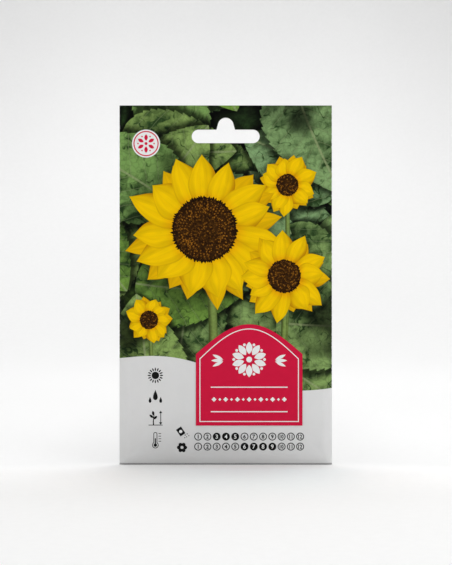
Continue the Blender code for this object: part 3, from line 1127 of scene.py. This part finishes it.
class Plate:
    """Flat shapes in plan coordinates, pressed together onto a panel as one thin film of ink.

    A point's level is its height over the film's own level, in steps. Its pick is a number that
    tints it, and its u and v are its place across and along its shape.
    """

    def __init__(self):
        self.parts, self.faces, self.count = [], [], 0

    def add(self, x, z, faces, level=0.0, pick=0.0, u=0.0, v=0.0):
        values = np.broadcast_arrays(x, z, level, pick, u, v)
        self.parts.append(np.stack([np.ravel(part) for part in values], axis=1))
        self.faces.append(faces + self.count)
        self.count += values[0].size

    def grid(self, x, z, level=0.0, pick=0.0):
        """One grid, or one for each place along the first axis, of rows and columns."""
        x, z, level, pick = np.broadcast_arrays(x, z, level, pick)
        rows, columns = x.shape[-2:]
        v, u = np.linspace(0, 1, rows)[:, None], np.linspace(0, 1, columns)
        self.add(x, z, grid_quads(rows, columns, x.size // (rows * columns)), level, pick, u, v)

    def star(self, x, z, outer, inner=0.0, points=40, rings=3, **tint):
        """A shape round a middle, between two radii that are numbers or functions of the angle."""
        turn = np.linspace(0, 2 * math.pi, points + 1)
        low, high = (size(turn) if callable(size) else size for size in (inner, outer))
        radius = between(low, high, np.linspace(0, 1, rings)[:, None])
        self.grid(*aimed(x, z, radius, 0.0, turn), **tint)

    def stroke(self, path, width, closed=False, **tint):
        """A line along a path, of one width or of a width that goes evenly from end to end."""
        path = np.asarray(path, float)
        if closed:
            path = subdivided(np.concatenate([path, path[:1]]), 1.0 * MM)[:-1]
        else:
            path = subdivided(path, 1.0 * MM)
        width = np.linspace(*np.broadcast_to(width, 2), len(path))[:, None]
        sides = mitred_sides(path, closed) * width / 2
        if closed:
            path, sides = (np.concatenate([part, part[:1]]) for part in (path, sides))
        edges = np.stack([path + sides, path - sides], axis=1)
        self.grid(edges[..., 0], edges[..., 1], **tint)

    def rule(self, x, z, width, *path, **options):
        """A line whose width and points are in millimetres, the points from a middle."""
        self.stroke(np.array(path) * MM + (x, z), np.multiply(width, MM), **options)

    def arrow(self, x, z, across, half, foot, tip):
        """An upright arrow's head, its sizes and places in millimetres from a middle."""
        plan_x = np.array([(across - half, across + half), (across, across)])
        self.grid(x + plan_x * MM, z + np.array([(foot, foot), (tip, tip)]) * MM)

    def blades(self, x, z, angles, start, end, width, power=1.0, rows=9, **tint):
        """Leaf shapes round a middle, whose width goes with a power of the sine of the way."""
        v = np.linspace(0, 1, rows)[None, :, None]
        across = np.linspace(0.5, -0.5, 3) * width * np.sin(math.pi * v) ** power
        angles = np.reshape(angles, (-1, 1, 1))
        self.grid(*aimed(x, z, between(start, end, v), across, angles), **tint)

    def press(self, name, side=FRONT):
        """Lifts the shapes onto a panel and closes the film."""
        ink = settings().ink
        kind, level = FILMS[name]
        x, z, raised, pick, u, v = np.concatenate(self.parts).T
        points = lifted(x, z, False, side, (level + raised) * ink.step)
        faces = [facing(part, x, z, -side) for part in self.faces]
        uv = np.stack([u, v], axis=1)
        piece = new_piece(name, points, faces, [ink_material(kind)], uv, pick)
        thicken(piece, ink.film, even=False)
        settle(piece)
        return piece


def ray_petals(plate, x, z, radius, foot, count, turn, level, bright, draw):
    """One ring of petals round a flower's disc.

    A petal's half width goes with the power 0.45 of the way along it and with the power 1.25 of
    one less the way's cube, and its sides wave a little. Its middle line bends with the square of
    the way. Its level falls from one side to the other, so that it lies over its neighbour.
    """
    wander = draw.uniform(-1, 1, (6, count, 1, 1))
    v = np.linspace(0, 1, 29)[None, :, None]
    u = np.linspace(1, -1, 11)
    reach = radius * (1 + 0.12 * wander[0])
    heading = turn + (np.arange(count)[:, None, None] + 0.26 * wander[1]) * 2 * math.pi / count
    broad = 1.55 * (foot + radius) / count * math.pi / 2 * (1 + 0.16 * wander[2])
    waving = 1 + 0.06 * np.sin(9 * v + 4 * wander[5] + 1.5 * u)
    half = 1.62 * broad * v**0.45 * (1 - v**3) ** 1.25 * waving
    across = half * u + 0.10 * radius * wander[3] * v * v
    plan = aimed(x, z, between(foot, reach, v), across, heading)
    plate.grid(*plan, level + 1.2 * u, bright + 0.12 * wander[4])


def florets(plate, x, z, radius, count, level, draw):
    """Florets on a golden-angle spiral, whose radius grows with the square root of their number.

    Most of every third are bright, above all in the middle and in a ring, where their brightness
    is a bell curve. Levels keep neighbours apart.
    """
    number = np.arange(count)
    share_out = np.sqrt((number + 0.5) / count)
    bell = np.exp(-(((share_out - 0.72) / 0.30) ** 2)) + 0.8 * np.exp(-((share_out / 0.30) ** 2))
    lit = draw.uniform(0, 1, count) < np.where(number % 3 == 0, 0.75, 0.14)
    bright = np.where(lit, draw.uniform(0.35, 1.0, count) * bell, draw.uniform(0.0, 0.13, count))
    size = 0.74 * radius / math.sqrt(count) * draw.uniform(0.8, 1.2, count)
    stack = (share_out * radius, (number + 0.5) * GOLDEN_ANGLE, size, bright, number % 10)
    reach, turn, size, bright, step = (values[:, None, None] for values in stack)
    out, along = np.meshgrid(np.linspace(-1, 1, 3), np.linspace(-1, 1, 3))
    size = size / np.maximum(np.hypot(out, along), 1)
    plan = aimed(x, z, reach + size * out * 1.25, size * along, turn)
    plate.grid(*plan, level + 0.1 * step, bright)


def dark_rim(plate, x, z, radius, level, draw):
    """Dark blades that stand out past a disc's edge. Levels keep neighbours apart."""
    count = int(40 + 5000 * radius)
    number = np.arange(count)
    angles = (number + draw.uniform(-0.45, 0.45, count)) * 2 * math.pi / count
    tips = radius * draw.uniform(1.05, 1.14, (count, 1, 1))
    width = 2 * math.pi * radius / count * draw.uniform(1.2, 1.9, (count, 1, 1))
    below = level - 0.1 * (number % 3)[:, None, None]
    plate.blades(x, z, angles, 0.88 * radius, tips, width, 0.7, rows=5, level=below)


def rosette(plate, x, z, radius, petals=8, **tint):
    """A generic ornament: blades round a dot, inside a thin ring of dots."""
    angles = np.arange(petals) * 2 * math.pi / petals + math.pi / 2
    plate.blades(x, z, angles, 0.28 * radius, 0.92 * radius, 0.34 * radius, 0.8, **tint)
    plate.star(x, z, 0.15 * radius, **tint)
    for angle in angles + math.pi / petals:
        dot = aimed(x, z, 0.80 * radius, 0.0, angle)
        plate.star(*dot, 0.075 * radius, points=12, rings=2, **tint)


def figure(text, height, bold):
    """A figure in the built-in font as a flat mesh, centred: its points and triangles."""
    curve = bpy.data.curves.new("figure", "FONT")
    curve.body = text
    curve.resolution_u = 4
    curve.offset = bold
    thing = new_object("figure", curve)
    graph = bpy.context.evaluated_depsgraph_get()
    mesh = bpy.data.meshes.new_from_object(thing.evaluated_get(graph))
    mesh.calc_loop_triangles()
    points = np.zeros(len(mesh.vertices) * 3, np.float32)
    mesh.vertices.foreach_get("co", points)
    triangles = np.zeros(len(mesh.loop_triangles) * 3, np.int32)
    mesh.loop_triangles.foreach_get("vertices", triangles)
    bpy.data.objects.remove(thing)
    bpy.data.curves.remove(curve)
    bpy.data.meshes.remove(mesh)
    plan = points.reshape(-1, 3)[:, :2].astype(float)
    low, high = plan.min(axis=0), plan.max(axis=0)
    plan = (plan - (low + high) / 2) * height / (high[1] - low[1])
    return plan, triangles.reshape(-1, 3)


# Pictograms, each round its own middle and about 7.5 mm across


def sun_sign(plate, x, z):
    """A disc in a ring of rays."""
    plate.star(x, z, 1.75 * MM)
    plate.blades(x, z, np.arange(16) * math.pi / 8, 2.05 * MM, 3.7 * MM, 0.62 * MM, 0.5)


def drop_sign(plate, x, z):
    """Three drops, each a circle whose radius shrinks towards its tip."""
    turn = np.linspace(0, 2 * math.pi, 33)
    scale = np.linspace(0, 1, 4)[:, None]
    for across, up, size in ((0, 0.4, 2.9), (-2.5, -1.9, 1.7), (2.5, -1.9, 1.7)):
        drop_x = size * MM * 0.55 * np.sin(turn) * np.sin(turn / 2) ** 1.6
        drop_z = size * MM * 0.85 * np.cos(turn)
        plate.grid(x + across * MM + scale * drop_x, z + up * MM + scale * drop_z)


def sprout_sign(plate, x, z):
    """A sprout on its line of soil, beside an arrow for its height."""
    plate.rule(x, z, (0.55, 0.35), (-0.9, -3.2), (-0.95, -1.5), (-0.8, 0.2), (-0.6, 1.6))
    for angle, up, size in ((0.75, -0.6, 2.3), (2.45, 0.0, 2.5), (1.75, 1.2, 2.2)):
        leaf = (x - 0.85 * MM, z + up * MM, [angle], 0.0, size * MM, 1.15 * MM, 0.8)
        plate.blades(*leaf, level=angle)
    plate.rule(x, z, 0.35, (-3.2, -3.3), (3.4, -3.3))
    plate.rule(x, z, 0.32, (2.5, -2.6), (2.5, 2.9))
    plate.arrow(x, z, 2.5, 0.75, 2.3, 3.5)
    plate.arrow(x, z, 2.5, 0.75, -2.0, -3.2)


def warmth_sign(plate, x, z):
    """A thermometer: an outline round a filled bulb and column, with ticks beside it."""
    bulb, column, foot, top = 1.35 * MM, 0.75 * MM, z - 2.2 * MM, z + 3.0 * MM
    lean = math.asin(column / bulb)
    round_bulb = arc(x, foot, bulb, math.pi / 2 + lean, 5 * math.pi / 2 - lean, 28)
    outline = np.concatenate([round_bulb, arc(x, top, column, 0, math.pi, 12)])
    plate.stroke(outline, 0.34 * MM, closed=True)
    plate.star(x, foot, 0.80 * MM)
    plate.rule(x, z, 0.55, (0, -2.2), (0, 1.0))
    for up in (-0.4, 0.8, 2.0, 3.2):
        plate.rule(x, z, 0.30, (1.5, up), (2.7, up))


def flower_sign(plate, x, z):
    """A flower of six round petals with an open middle: a ring with a waving outer radius."""

    def outer(turn):
        return (1.85 + 0.55 * np.abs(np.cos(3 * turn))) * MM

    plate.star(x, z, outer, 0.70 * MM, points=72)


def packet_sign(plate, x, z):
    """A tipped packet that spills a few seeds."""
    across, up = np.meshgrid((-1.4 * MM, 1.4 * MM), (-1.9 * MM, 1.9 * MM))
    plate.grid(*aimed(x - 0.6 * MM, z + 0.3 * MM, across, up, 0.60))
    for right, down in ((1.5, 1.4), (2.4, 0.8), (2.2, 2.2), (3.2, 1.7), (1.3, 2.6)):
        plate.star(x + right * MM, z - down * MM, 0.26 * MM, points=10, rings=2)


def sowing_sign(plate, x, z):
    """A seed under its line of soil, with an arrow for its depth."""
    plate.rule(x, z, 0.35, (-3.4, 1.2), (3.4, 1.2))
    plate.blades(x - 1.2 * MM, z - 2.9 * MM, [math.pi / 2], 0, 2.6 * MM, 1.5 * MM, 0.6)
    plate.rule(x, z, 0.32, (1.6, 0.7), (1.6, -2.2))
    plate.arrow(x, z, 1.6, 0.8, -1.7, -2.9)
    for across in (-2.6, -0.9, 0.8, 2.5):
        plate.star(x + across * MM, z + 2.3 * MM, 0.28 * MM, points=12, rings=2)


GROWING_SIGNS = (sun_sign, drop_sign, sprout_sign, warmth_sign)


# Prints


def stem_path(x, z, radius):
    """A stem's middle line, from a flower's middle towards the foot and down to the pale band."""
    way = np.linspace(0, 1, 26)
    foot = x + (0.10 if x < 0 else -0.15) * radius
    path_x = between(x, foot, way) + 0.06 * radius * np.sin(math.pi * way)
    path_z = np.maximum(between(z, 30 * MM, way), band_height(path_x))
    falls = np.append(np.diff(path_z) < -0.1 * MM, False)
    falls[0] = True
    return np.stack([path_x, path_z], axis=1)[falls]


def draw_label(red, white):
    """The label's red ground with its arched top, and its pale line, rules and ornaments."""
    label = settings().label

    def arch(across):
        return label.shoulder + label.arch * np.cos(math.pi / 2 * across)

    across = np.linspace(-1, 1, 45)
    up = np.linspace(0, 1, 36)[:, None]
    red.grid(label.centre + label.half_width * across, between(label.foot, arch(across), up))

    half = label.half_width - label.keyline
    across = np.linspace(1, -1, 61)
    top = np.stack([half * across, arch(across) - 1.15 * label.keyline], axis=1)
    low = label.foot + label.keyline
    outline = np.concatenate([[(-half, low), (half, low)], top])
    white.stroke(outline + (label.centre, 0), 0.42 * MM, closed=True)
    rosette(white, label.centre, 49.5 * MM, 9.0 * MM, 10)
    for z in (36.5, 25.0):
        white.rule(label.centre, 0.0, 0.50, (-18.0, z), (18.0, z))
    for place in range(-6, 7):
        size = 0.70 * MM if place % 2 else 1.15 * MM
        white.star(label.centre + place * 2.75 * MM, 30.75 * MM, size, points=4, rings=2)
    for side, heading in ((-1, math.pi), (1, 0.0)):
        angles = np.array([0.45, 0.0, -0.45]) + heading
        sprig = (label.centre + side * 11.4 * MM, 49.0 * MM)
        white.blades(*sprig, angles, 0.9 * MM, 6.4 * MM, 1.5 * MM, 0.9)


def add_calendar(rings, pale, x, rows):
    """Rows of the twelve months. A row is its height and the months whose rings are filled."""
    calendar = settings().calendar
    for z, filled in rows:
        for month in range(1, 13):
            middle = x + (month - 6.5) * calendar.pitch
            inside = 0.0 if month in filled else calendar.radius - calendar.ring
            rings.star(middle, z, calendar.radius, inside, rings=2 if inside else 3)
            bold = 0.035 if inside else 0.014
            squeeze = 0.86 if month > 9 else 1.0
            plan, triangles = figure(str(month), calendar.figure, bold)
            plate = rings if inside else pale
            plate.add(middle + squeeze * plan[:, 0], z + plan[:, 1], triangles)


# Operators


class StageOperator(bpy.types.Operator):
    """Make the pale sweep, the soft lights and the camera"""

    bl_idname = "packet.stage"
    bl_label = "Stage"

    def execute(self, context):
        stage = settings().stage
        flat, turn = stage.radius - stage.fillet, np.linspace(0, math.pi / 2, 13)
        reach = [lines(0.0, 8, flat), flat + stage.fillet * np.sin(turn[1:]), [stage.radius]]
        height = [np.zeros(9), stage.fillet * (1 - np.cos(turn[1:])), [stage.wall]]
        reach, height = (np.concatenate(parts)[:, None] for parts in (reach, height))
        around = np.linspace(0, 2 * math.pi, 97)
        points = points_from(-reach * np.cos(around), reach * np.sin(around), height)
        faces = grid_quads(len(reach), len(around))
        mesh = bpy.data.meshes.new("sweep")
        mesh.from_pydata(points.tolist(), [], faces.tolist())
        mesh.shade_smooth()
        mesh.materials.append(new_material("stage_pale", sweep_paint, 0.9, 0.0, 0.0, 0.0))
        new_object("sweep", mesh)
        add_lights(context.scene)
        add_camera(context.scene)
        return {"FINISHED"}


def add_lights(scene):
    """Soft boxes, each aimed at the packet or the backdrop, and an even pale sky."""
    world = bpy.data.worlds.new("sky")
    world.use_nodes = True
    background = world.node_tree.nodes["Background"]
    background.inputs["Color"].default_value = (1.0, 1.0, 1.0, 1.0)
    background.inputs["Strength"].default_value = 1.0
    scene.world = world
    for name, place, target, size, power in LIGHTS:
        light = bpy.data.lights.new(name, "AREA")
        light.shape = "RECTANGLE"
        light.size, light.size_y = size
        light.energy = power
        lamp = new_object(name, light)
        lamp.location = place
        toward = Vector(target) - Vector(place)
        lamp.rotation_euler = toward.to_track_quat("-Z", "Y").to_euler()
        lamp.visible_camera = False


def add_camera(scene):
    """A level camera in front of the packet."""
    stage = settings().stage
    data = bpy.data.cameras.new("camera")
    data.lens = stage.lens
    data.sensor_width = 36.0
    data.clip_start = 0.01
    camera = new_object("camera", data)
    camera.location = (stage.across, -stage.distance, stage.eye)
    camera.rotation_euler = (math.pi / 2, 0.0, 0.0)
    scene.camera = camera
    scene.view_settings.view_transform = "Standard"


class FrontOperator(bpy.types.Operator):
    """Make the printed front sheet and the slot's edge"""

    bl_idname = "packet.front"
    bl_label = "Front"

    def execute(self, context):
        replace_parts(panel_sheet("front_sheet", FRONT, "printed"), "front_panel")
        make_slot_edge()
        return {"FINISHED"}


class BackOperator(bpy.types.Operator):
    """Make the back sheet and the three glued flaps"""

    bl_idname = "packet.back"
    bl_label = "Back and flaps"

    def execute(self, context):
        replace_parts(panel_sheet("back_sheet", BACK, "plain"), "back_panel")
        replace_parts(make_side_flap(), "side_flap")
        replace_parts(make_bottom_flap(), "bottom_flap")
        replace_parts(make_top_flap(), "top_flap")
        return {"FINISHED"}


class BloomOperator(bpy.types.Operator):
    """Print the flowers and their stems"""

    bl_idname = "packet.blooms"
    bl_label = "Printed flowers"

    def execute(self, context):
        petals, discs, stems = Plate(), Plate(), Plate()
        for x, z, radius, disc_share, count, turn, level, seed in BLOOMS:
            draw = np.random.default_rng(seed)
            disc = radius * disc_share
            behind = (0.97 * radius, 0.6 * disc, count, turn, level + 1.5, 0.40)
            ahead = (radius, 0.6 * disc, count - 2, turn + 0.17, level + 6.0, 0.90)
            for ring in (behind, ahead):
                ray_petals(petals, x, z, *ring, draw)
            discs.star(x, z, disc, points=64, rings=6, level=level + 9.0, pick=0.04)
            number = int(120 * (disc / (3.5 * MM)) ** 1.5)
            florets(discs, x, z, 0.96 * disc, number, level + 10.5, draw)
            dark_rim(discs, x, z, 0.96 * disc, level + 10.0, draw)
            stems.stroke(stem_path(x, z, radius), 0.09 * radius + 0.9 * MM, level=level)
        stems.press("flower_stems")
        petals.press("ray_petals")
        discs.press("flower_discs")
        return {"FINISHED"}


class LabelOperator(bpy.types.Operator):
    """Print the red label, its ornament and the round badge"""

    bl_idname = "packet.label"
    bl_label = "Label and badge"

    def execute(self, context):
        label = settings().label
        red, white, badge, badge_red = Plate(), Plate(), Plate(), Plate()
        draw_label(red, white)
        spot, size = (label.badge_x, label.badge_z), label.badge_radius
        badge.star(*spot, size, points=72, rings=8)
        badge_red.star(*spot, 0.90 * size, 0.82 * size, points=72, rings=2)
        rosette(badge_red, *spot, 0.72 * size, 6)
        red.press("label_ground")
        white.press("label_lines")
        badge.press("badge_ground")
        badge_red.press("badge_rosette")
        return {"FINISHED"}


class CalendarOperator(bpy.types.Operator):
    """Print the two rows of months and the column of pictograms"""

    bl_idname = "packet.calendar"
    bl_label = "Months and pictograms"

    def execute(self, context):
        calendar = settings().calendar
        rings, pale, signs = Plate(), Plate(), Plate()
        rows = ((calendar.upper, SOWING), (calendar.lower, FLOWERING))
        add_calendar(rings, pale, calendar.centre, rows)
        for sign, z in zip(GROWING_SIGNS, (42.0, 32.5, 22.0, 11.5)):
            sign(signs, -33.0 * MM, z * MM)
        packet_sign(signs, -20.5 * MM, 15.4 * MM)
        flower_sign(signs, -20.5 * MM, 8.2 * MM)
        pale.star(-21.1 * MM, 15.7 * MM, 0.75 * MM, points=16, rings=2)
        rings.press("month_rings")
        signs.press("pictograms")
        pale.press("month_figures")
        return {"FINISHED"}


class BackPrintOperator(bpy.types.Operator):
    """Print the back's frame, sowing signs and months"""

    bl_idname = "packet.back_print"
    bl_label = "Back print"

    def execute(self, context):
        black, pale = Plate(), Plate()
        black.rule(0, 0, 0.35, (-40, 26), (31, 26), (31, 128), (-40, 128), closed=True)
        for z in (104.0, 62.0):
            black.rule(0, 0, 0.25, (-40, z), (31, z))
        for sign, x in zip(GROWING_SIGNS, (-29.0, -13.0, 4.0, 20.0)):
            sign(black, x * MM, 116.0 * MM)
        for x in (-30.0, -14.0, 3.0, 20.0):
            sowing_sign(black, x * MM, 83.0 * MM)
        # Plan coordinates are as seen from the front, so from behind these figures are mirrored
        add_calendar(black, pale, -4.5 * MM, ((49.0 * MM, SOWING), (42.0 * MM, FLOWERING)))
        black.press("back_lines", BACK)
        pale.press("back_figures", BACK)
        return {"FINISHED"}


class SeedOperator(bpy.types.Operator):
    """Make the striped seeds inside the pouch"""

    bl_idname = "packet.seeds"
    bl_label = "Seeds"

    def execute(self, context):
        boxes = np.array([[list(corner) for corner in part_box(node)] for node in SEED_NODES])
        middle = boxes.mean(axis=1).T[:, :, None, None]
        half = np.diff(boxes, axis=1)[:, 0].T[:, :, None, None] * 0.49
        around = np.linspace(0, 2 * math.pi, 17)
        up = np.linspace(0, math.pi, 13)[:, None]
        height = -np.cos(up)
        narrow = 1 - 0.22 * (1 + height) / 2
        ball = (narrow * np.sin(up) * np.cos(around), np.sin(up) * np.sin(around), height)
        points = points_from(*(at + size * way for at, size, way in zip(middle, half, ball)))
        u, v = np.broadcast_arrays(around / (2 * math.pi), up / math.pi)
        uv = np.tile(np.stack([u.ravel(), v.ravel()], axis=1), (len(boxes), 1))
        faces = grid_quads(len(up), len(around), len(boxes))
        material = new_material("seed_hull", seed_stripes, 0.6, 8 * MICRON, 0.0, 0.0)
        piece = new_piece("seeds", points, [faces], [material], uv)
        settle(piece)
        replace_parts(piece, *SEED_NODES)
        return {"FINISHED"}


class PacketPanel(bpy.types.Panel):
    """Lists the packet's steps"""

    bl_idname = "VIEW3D_PT_seed_packet"
    bl_label = "Seed packet"
    bl_space_type = "VIEW_3D"
    bl_region_type = "UI"
    bl_category = "Seed packet"

    def draw(self, context):
        for step in STEPS:
            self.layout.operator(step.bl_idname)


GROUPS = (
    PaperSettings,
    SlotSettings,
    PictureSettings,
    InkSettings,
    LabelSettings,
    CalendarSettings,
    StageSettings,
    PacketSettings,
)
STEPS = (
    StageOperator,
    FrontOperator,
    BackOperator,
    BloomOperator,
    LabelOperator,
    CalendarOperator,
    BackPrintOperator,
    SeedOperator,
)


def register():
    for kind in (*GROUPS, *STEPS, PacketPanel):
        bpy.utils.register_class(kind)
    bpy.types.Scene.packet = PointerProperty(type=PacketSettings)


def unregister():
    del bpy.types.Scene.packet
    for kind in reversed((*GROUPS, *STEPS, PacketPanel)):
        bpy.utils.unregister_class(kind)


def main():
    register()
    for step in STEPS:
        family, name = step.bl_idname.split(".")
        getattr(getattr(bpy.ops, family), name)()


if __name__ == "__main__":
    main()
